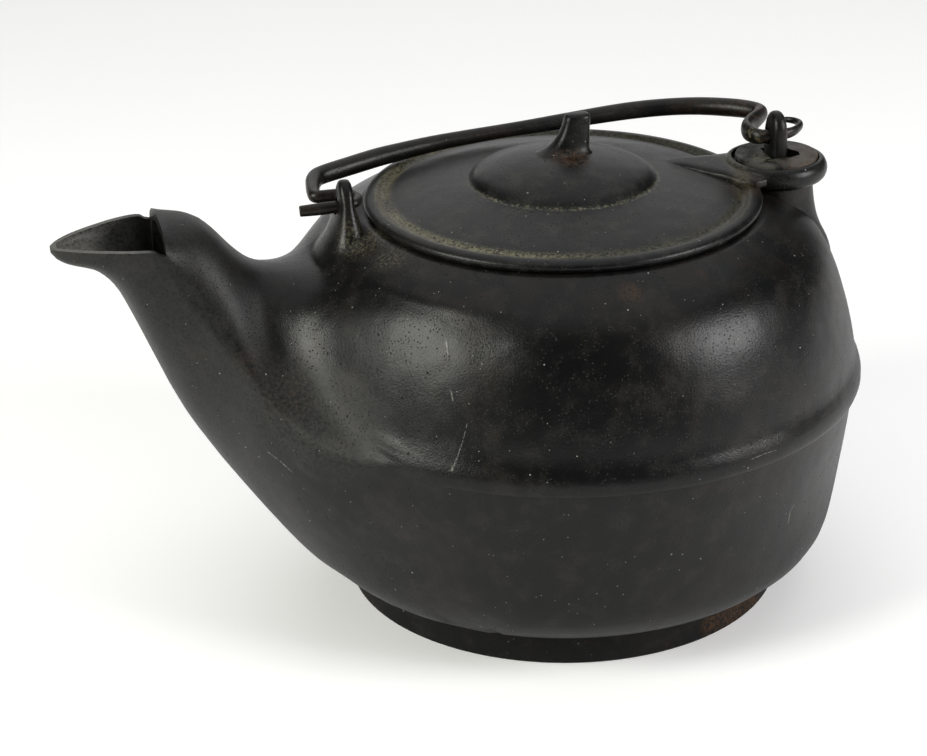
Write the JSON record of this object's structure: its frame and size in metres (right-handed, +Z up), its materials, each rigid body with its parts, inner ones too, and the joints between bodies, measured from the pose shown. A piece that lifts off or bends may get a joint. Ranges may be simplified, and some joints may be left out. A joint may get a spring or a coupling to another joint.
{
  "type": "kettle",
  "caption": "Round cast iron fireplace kettle with a hooded pouring spout, a lid that swivels sideways on its rear ear, and a forged bail folded down.",
  "frame": {"origin": "centre of the flat foot's underside", "axes": "+Z up, spout towards -X, both ears on the X axis, the bail folded down towards +Y"},
  "size_m": [0.3275, 0.244, 0.1981],
  "materials": {
    "body_iron": "seasoned satin, finely pitted",
    "lid_iron": "seasoned satin, finely pitted",
    "rusty_iron": "dull, rust stained",
    "wrought_iron": "smooth satin, brown sheen"
  },
  "bodies": {
    "kettle": {"kettle_body": "body_iron", "swivel_washer": "rusty_iron"},
    "lid": {"swing_lid": "lid_iron"},
    "bail": {"bail_handle": "wrought_iron"}
  },
  "joints": [
    {"name": "lid_swivel", "type": "hinge", "parent": "kettle", "child": "lid", "pos_m": [0.0909, 0, 0.1665], "axis": [0, 0, 1], "range_deg": [0, 105]},
    {"name": "bail_swing", "type": "hinge", "parent": "kettle", "child": "bail", "pos_m": [-0.0893, 0, 0.1696], "axis": [0.9983, 0, 0.0587], "range_deg": [0, 182]}
  ]
}
